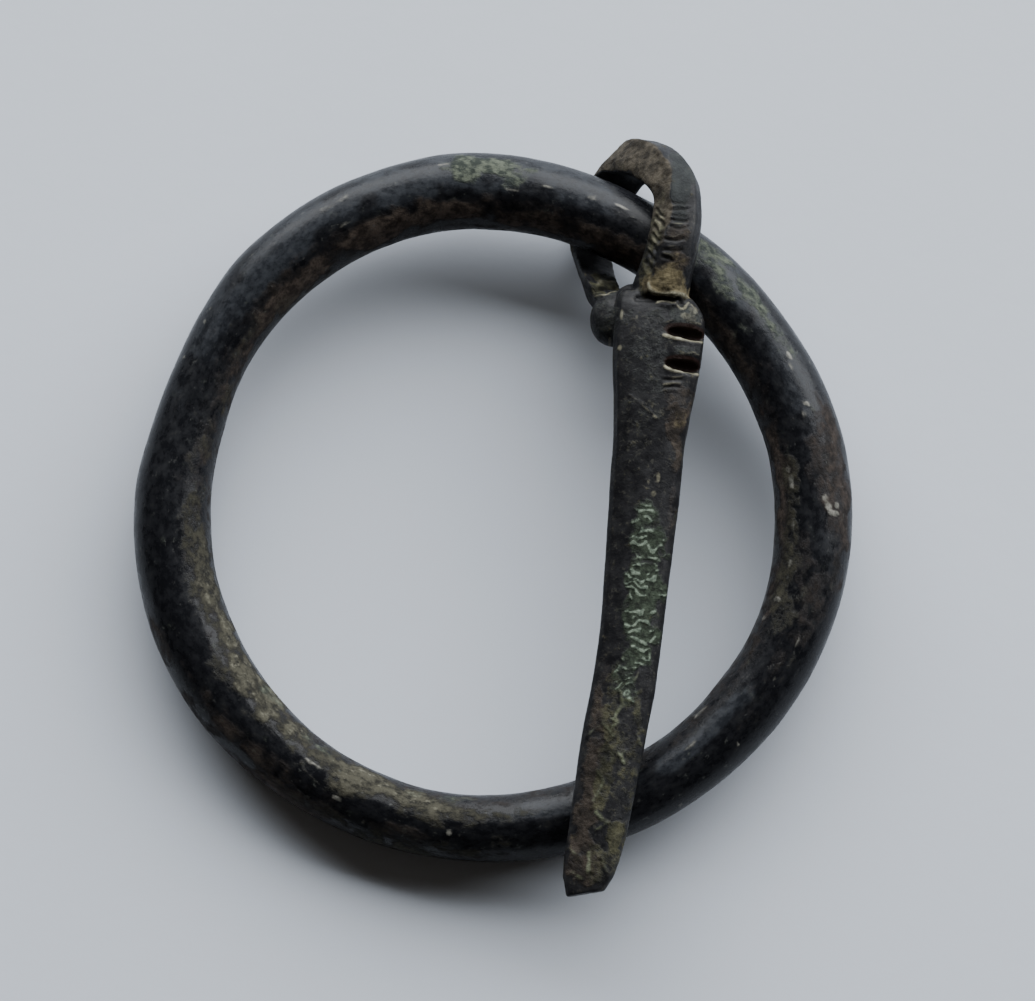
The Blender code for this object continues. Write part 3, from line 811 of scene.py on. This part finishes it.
def worked_lines(place, points, facing):
    """The relief of the cuts, of their raised lips and of the grown lines, and a mask of each."""
    along, across = place.measure(points)
    along = along + lumps(points, *WAVER_ALONG)
    across = across + lumps(points, *WAVER_ACROSS)
    relief = np.zeros(len(points))
    masks = {name: np.zeros(len(points)) for name in ("cut", "lip", "grown")}
    for half_width, depth, places in CARVED_STROKES:
        line = facing * stroke(along, across, half_width, places)
        relief -= depth * MM * line
        masks["cut"] = np.maximum(masks["cut"], line)
    broken = 0.8 + 0.25 * noise(points, 0.35 * MM, 63)
    for name, strokes in (("lip", RAISED_STROKES), ("grown", GROWN_STROKES)):
        for half_width, height, paleness, places in strokes:
            line = facing * stroke(along, across, half_width, places)
            relief += height * MM * line
            masks[name] = np.maximum(masks[name], paleness * broken * line)
    return relief, masks


def pin_relief(points, masks):
    """How far the curls, crumbs and pits stand out of the pin or go into it."""
    worn = masks["olive"] + masks["brown"] + masks["ochre"] + masks["eye_side"] + 0.5 * masks["grey"]
    depth, spacing, seed = PIN_PITS
    hollows = -depth * pits(points, spacing, seed) * np.clip(worn + 0.10, 0, 1)
    height, size, seed = PIN_CRUMBS
    crumbs = height * np.clip(worn, 0, 1) * rough_noise(points, size, seed)
    grown = CURL_HEIGHT * masks["curl"] - GREEN_HOLLOW * masks["green"] - NOTCH_HOLLOW * masks["hollow"]
    return lumps(points, *PIN_LUMPS) + lumps(points, *PIN_RIPPLES) + grown + hollows + crumbs


def pin_surface(place):
    points, quads = pin_form(place)
    normals = vertex_normals(points, quads)
    facing = smooth_step(normals @ place.up, *FACING_UP)
    masks = pin_masks(place, points, normals, quads, facing)
    line_relief, line_masks = worked_lines(place, points, facing)
    relief = pin_relief(points, masks) + line_relief
    points = points + normals * relief[:, None]
    points[:, 2] = np.maximum(points[:, 2], 0)
    return masked_object("pin_surface", points, quads, masks | line_masks, points)


# How strongly the patinas and the table reflect, a third of what plain varnish does.
SHINE = 0.17

# Tones of the ring's patina and deposits in linear light: a dark and a pale one of each.
BLACK_PATINA = ((0.0056, 0.0060, 0.0076), (0.0118, 0.0125, 0.0148))
# Bluish dark grey: worn patina in part, painted sheen in part.
GREY_PATINA_AND_SHEEN = ((0.0160, 0.0178, 0.0215), (0.0310, 0.0345, 0.0405))
THIN_UMBER = ((0.008, 0.0065, 0.006), (0.028, 0.022, 0.019))
# The pale umber, used where the brown mask is strongest, is painted fill light on the bar's shaded inner top
# over a real brown film.
UMBER_WITH_PAINTED_FILL = ((0.024, 0.018, 0.015), (0.095, 0.074, 0.060))
THIN_EARTH = ((0.010, 0.0093, 0.0072), (0.033, 0.0315, 0.0225))
THICK_EARTH = ((0.0155, 0.0148, 0.0108), (0.061, 0.058, 0.042))
EARTH_CRUMBS = (0.124, 0.119, 0.090)
RING_GREEN = ((0.022, 0.028, 0.023), (0.092, 0.104, 0.078))
RING_SPECKS = (0.080, 0.082, 0.078)
PALE_CRUMBS = ((0.09, 0.09, 0.078), (0.21, 0.205, 0.18))

# The same for the pin.
BROWN_PATINA = ((0.006, 0.006, 0.0075), (0.0165, 0.0165, 0.0180))
PIN_FLECKS = (0.056, 0.055, 0.046)
SLATE = ((0.014, 0.0155, 0.016), (0.044, 0.048, 0.045))
PIN_UMBER = ((0.015, 0.012, 0.010), (0.050, 0.040, 0.032))
STEEL_GREY = ((0.017, 0.019, 0.020), (0.030, 0.0335, 0.0335))
BRONZE = ((0.016, 0.013, 0.009), (0.078, 0.067, 0.050))
OLIVE = ((0.016, 0.016, 0.010), (0.070, 0.068, 0.040))
DARK_GREEN = ((0.012, 0.016, 0.011), (0.042, 0.056, 0.038))
OCHRE = ((0.030, 0.024, 0.014), (0.185, 0.155, 0.088))
CURL_GREEN = ((0.075, 0.098, 0.075), (0.185, 0.228, 0.175))
CUT_SHADE = (0.007, 0.0065, 0.006)
NOTCH_SHADE = (0.016, 0.008, 0.0065)
GROWTH = ((0.080, 0.088, 0.052), (0.165, 0.180, 0.125))
CHALK = ((0.120, 0.112, 0.078), (0.290, 0.275, 0.200))

# Roughness of the bare patinas, from and to, and of the crusts on them.
RING_ROUGHNESS = (0.20, 0.42)
RING_CRUST_ROUGHNESS = 0.78
PIN_ROUGHNESS = (0.36, 0.52)
PIN_CRUST_ROUGHNESS = 0.75

# The depth of the finest grain, and how much of it the bare patinas have.
RING_GRAIN = 0.07 * MM
RING_BARE_GRAIN = 0.25
PIN_GRAIN = 0.08 * MM
PIN_BARE_GRAIN = 0.35

TABLE_PAINT = ((0.64, 0.69, 0.77), (0.67, 0.72, 0.80))
TABLE_ROUGHNESS = 0.6
TABLE_GRAIN = 0.01 * MM


class Nodes:
    """Builds a material's nodes. Each method returns a socket."""

    def __init__(self, name, grained=True):
        self.material = bpy.data.materials.new(name)
        self.material.use_nodes = True
        self.tree = self.material.node_tree
        self.shader = self.tree.nodes["Principled BSDF"]
        if grained:
            attribute = self.tree.nodes.new("ShaderNodeAttribute")
            attribute.attribute_name = "grain"
            self.place = attribute.outputs["Vector"]
        else:
            self.place = self.tree.nodes.new("ShaderNodeTexCoord").outputs["Object"]

    def put(self, socket, value):
        if isinstance(value, bpy.types.NodeSocket):
            self.tree.links.new(value, socket)
        elif isinstance(value, tuple):
            socket.default_value = (*value, 1)
        else:
            socket.default_value = value

    def mask(self, name):
        node = self.tree.nodes.new("ShaderNodeAttribute")
        node.attribute_name = name
        return node.outputs["Fac"]

    def noise(self, size, detail=4, roughness=0.6):
        node = self.tree.nodes.new("ShaderNodeTexNoise")
        self.put(node.inputs["Vector"], self.place)
        self.put(node.inputs["Scale"], 1 / size)
        self.put(node.inputs["Detail"], detail)
        self.put(node.inputs["Roughness"], roughness)
        return node.outputs["Fac"]

    def math(self, operation, first, second):
        node = self.tree.nodes.new("ShaderNodeMath")
        node.operation = operation
        self.put(node.inputs[0], first)
        self.put(node.inputs[1], second)
        return node.outputs[0]

    def between(self, value, low, high, to_low=0.0, to_high=1.0):
        """The value's smooth share of the way from low to high."""
        node = self.tree.nodes.new("ShaderNodeMapRange")
        node.interpolation_type = "SMOOTHSTEP"
        for name, number in (("From Min", low), ("From Max", high), ("To Min", to_low), ("To Max", to_high)):
            self.put(node.inputs[name], number)
        self.put(node.inputs["Value"], value)
        return node.outputs["Result"]

    def mix(self, share, first, second):
        node = self.tree.nodes.new("ShaderNodeMix")
        node.data_type = "RGBA"
        self.put(node.inputs[0], share)
        self.put(node.inputs[6], first)
        self.put(node.inputs[7], second)
        return node.outputs[2]

    def tones(self, value, low, high, pair):
        """The first of two tones where the value is low, the second where it is high."""
        return self.mix(self.between(value, low, high), *pair)

    def most(self, *values):
        """The greatest of several values."""
        return functools.reduce(lambda first, second: self.math("MAXIMUM", first, second), values)

    def crumbled(self, name, crumbs, low, high):
        """A mask with its edge broken up by fine noise."""
        shift = self.math("SUBTRACT", crumbs, 0.5)
        return self.between(self.math("ADD", self.mask(name), shift), low, high)

    def film(self, name, size, raggedness=0.9):
        """A mask's thin layer, worn through in blotches of about the given size where it is weak."""
        shift = self.math("MULTIPLY", self.math("SUBTRACT", self.noise(size, 6, 0.65), 0.5), 2 * raggedness)
        return self.between(self.math("ADD", self.mask(name), shift), 0.15, 0.85)

    def finish(self, colour, roughness, height, depth):
        bump = self.tree.nodes.new("ShaderNodeBump")
        self.put(bump.inputs["Height"], height)
        self.put(bump.inputs["Distance"], depth)
        self.put(bump.inputs["Strength"], 1.0)
        self.put(self.shader.inputs["Base Color"], colour)
        self.put(self.shader.inputs["Roughness"], roughness)
        self.put(self.shader.inputs["Specular IOR Level"], SHINE)
        self.put(self.shader.inputs["Normal"], bump.outputs["Normal"])
        return self.material


def ring_material():
    n = Nodes("ring_patina")
    fine = n.noise(0.35 * MM, 5, 0.65)
    mottle = n.noise(0.5 * MM, 6, 0.7)
    colour = n.tones(mottle, 0.38, 0.64, BLACK_PATINA)
    # The grey mask: partly worn patina, partly painted sheen along the bar's lit side.
    colour = n.mix(n.film("grey", 0.7 * MM, 0.45), colour, n.tones(mottle, 0.40, 0.62, GREY_PATINA_AND_SHEEN))
    brown = n.film("brown", 0.7 * MM)
    thin = n.tones(mottle, 0.38, 0.64, THIN_UMBER)
    thick = n.tones(mottle, 0.38, 0.64, UMBER_WITH_PAINTED_FILL)
    # Where the brown mask is full the umber turns pale: painted fill light on the bar's shaded inner top.
    colour = n.mix(brown, colour, n.tones(n.mask("brown"), 0.5, 0.95, (thin, thick)))
    earth = n.film("earth", 0.5 * MM)
    thin = n.tones(mottle, 0.38, 0.62, THIN_EARTH)
    thick = n.tones(fine, 0.54, 0.70, (n.tones(mottle, 0.38, 0.60, THICK_EARTH), EARTH_CRUMBS))
    colour = n.mix(earth, colour, n.tones(n.mask("earth"), 0.55, 0.85, (thin, thick)))
    green = n.film("green", 0.6 * MM)
    colour = n.mix(green, colour, n.tones(fine, 0.40, 0.62, RING_GREEN))
    specks = n.between(n.noise(0.30 * MM, 3, 0.6), 0.64, 0.73)
    colour = n.mix(n.math("MULTIPLY", specks, 0.40), colour, RING_SPECKS)
    colour = n.mix(n.film("pale", 0.3 * MM, 0.5), colour, n.tones(fine, 0.4, 0.6, PALE_CRUMBS))
    crust = n.most(earth, green, n.math("MULTIPLY", brown, 0.8))
    roughness = n.between(n.noise(0.5 * MM, 5, 0.65), 0.3, 0.7, *RING_ROUGHNESS)
    roughness = n.between(crust, 0.0, 0.8, roughness, RING_CRUST_ROUGHNESS)
    strength = n.between(crust, 0.0, 1.0, RING_BARE_GRAIN, 1.0)
    height = n.math("MULTIPLY", n.noise(0.22 * MM, 5, 0.65), strength)
    return n.finish(colour, roughness, height, RING_GRAIN)


def pin_patinas(n, fine, broad):
    """The pin's colour, with its patinas and crusts, and where any of them but the bare one lies."""
    colour = n.tones(broad, 0.38, 0.64, BROWN_PATINA)
    flecks = n.between(n.noise(0.30 * MM, 3), 0.57, 0.70)
    colour = n.mix(n.math("MULTIPLY", flecks, 0.50), colour, PIN_FLECKS)
    layers = (
        (n.film("grey", 0.5 * MM, 0.8), n.tones(fine, 0.40, 0.66, SLATE)),
        (n.film("brown", 0.5 * MM, 0.8), n.tones(broad, 0.38, 0.64, PIN_UMBER)),
        (n.film("smooth", 0.5 * MM, 0.4), n.tones(broad, 0.35, 0.65, STEEL_GREY)),
        (n.film("eye_side", 0.6 * MM, 0.85), n.tones(broad, 0.36, 0.66, BRONZE)),
        (n.film("olive", 0.5 * MM, 1.1), n.tones(broad, 0.38, 0.64, OLIVE)),
        (n.film("green", 0.5 * MM, 0.6), n.tones(fine, 0.38, 0.66, DARK_GREEN)),
        (n.film("ochre", 0.5 * MM, 0.8), n.tones(broad, 0.36, 0.64, OCHRE)),
    )
    for film, tone in layers:
        colour = n.mix(film, colour, tone)
    return colour, n.most(*[film for film, tone in layers])


def pin_material():
    n = Nodes("pin_patina")
    fine = n.noise(0.32 * MM, 5, 0.65)
    broad = n.noise(0.9 * MM, 6, 0.65)
    colour, crust = pin_patinas(n, fine, broad)
    colour = n.mix(n.crumbled("curl", fine, 0.25, 0.75), colour, n.tones(fine, 0.35, 0.65, CURL_GREEN))
    colour = n.mix(n.math("MULTIPLY", n.mask("cut"), 0.65), colour, CUT_SHADE)
    colour = n.mix(n.between(n.mask("hollow"), 0.3, 0.7), colour, NOTCH_SHADE)
    colour = n.mix(n.crumbled("grown", fine, 0.1, 0.9), colour, n.tones(broad, 0.38, 0.62, GROWTH))
    chips = n.math("MULTIPLY", n.film("pale", 0.25 * MM, 0.4), 0.8)
    pale = n.most(n.between(n.mask("lip"), 0.1, 0.8), chips)
    colour = n.mix(pale, colour, n.tones(fine, 0.35, 0.65, CHALK))
    roughness = n.between(n.noise(0.8 * MM), 0.3, 0.7, *PIN_ROUGHNESS)
    roughness = n.between(crust, 0.0, 1.0, roughness, PIN_CRUST_ROUGHNESS)
    strength = n.between(crust, 0.0, 1.0, PIN_BARE_GRAIN, 1.0)
    height = n.math("MULTIPLY", n.noise(0.2 * MM, 5, 0.65), strength)
    return n.finish(colour, roughness, height, PIN_GRAIN)


def floor():
    """The plain pale table."""
    corners = ((-1, -1, 0), (1, -1, 0), (1, 1, 0), (-1, 1, 0))
    made = surface_object("table", TABLE_HALF * np.array(corners), np.array(((0, 1, 2, 3),)))
    n = Nodes("table_paint", grained=False)
    colour = n.mix(n.noise(30 * MM, 2), *TABLE_PAINT)
    made.data.materials.append(n.finish(colour, TABLE_ROUGHNESS, n.noise(1.5 * MM, 3), TABLE_GRAIN))
    return made


def camera():
    """Looks down at the brooch as the photograph does."""
    flat = math.cos(CAMERA_ELEVATION)
    away = Vector((
        math.sin(CAMERA_AZIMUTH) * flat,
        -math.cos(CAMERA_AZIMUTH) * flat,
        math.sin(CAMERA_ELEVATION),
    ))
    right = Vector((0, 1, 0)).cross(away).normalized()
    up = away.cross(right)
    data = bpy.data.cameras.new("camera")
    data.sensor_width = SENSOR_WIDTH
    data.lens = FOCAL_PIXELS * SENSOR_WIDTH / IMAGE_WIDTH
    data.clip_start = 0.01
    made = bpy.data.objects.new("camera", data)
    made.matrix_world = Matrix((right, up, away)).transposed().to_4x4()
    made.location = CAMERA_TARGET + CAMERA_DISTANCE * away
    bpy.context.scene.collection.objects.link(made)
    bpy.context.scene.camera = made


def area_light(name, bearing, elevation, distance, width, height, power, colour):
    """A soft light that looks at the brooch from a compass bearing, in degrees, with +Y as north."""
    bearing, elevation = math.radians(bearing), math.radians(elevation)
    way = Vector((
        math.sin(bearing) * math.cos(elevation),
        math.cos(bearing) * math.cos(elevation),
        math.sin(elevation),
    ))
    data = bpy.data.lights.new(name, "AREA")
    data.shape = "RECTANGLE"
    data.size = width
    data.size_y = height
    data.energy = power
    data.color = colour
    made = bpy.data.objects.new(name, data)
    made.location = way * distance
    made.rotation_euler = way.to_track_quat("Z", "Y").to_euler()
    bpy.context.scene.collection.objects.link(made)


def surroundings(colour, strength):
    world = bpy.data.worlds.new("room")
    world.use_nodes = True
    background = world.node_tree.nodes["Background"]
    background.inputs["Color"].default_value = (*colour, 1)
    background.inputs["Strength"].default_value = strength
    bpy.context.scene.world = world


ring_place = RingPlace()
ring = ring_surface(ring_place)
ring.data.materials.append(ring_material())
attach(ring, "ring")
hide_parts("ring_frame")

pin = pin_surface(PinPlace(ring_place))
pin.data.materials.append(pin_material())
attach(pin, "pin")
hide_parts("pin")

floor()
camera()
area_light("window", **WINDOW)
surroundings(ROOM_COLOUR, ROOM_STRENGTH)
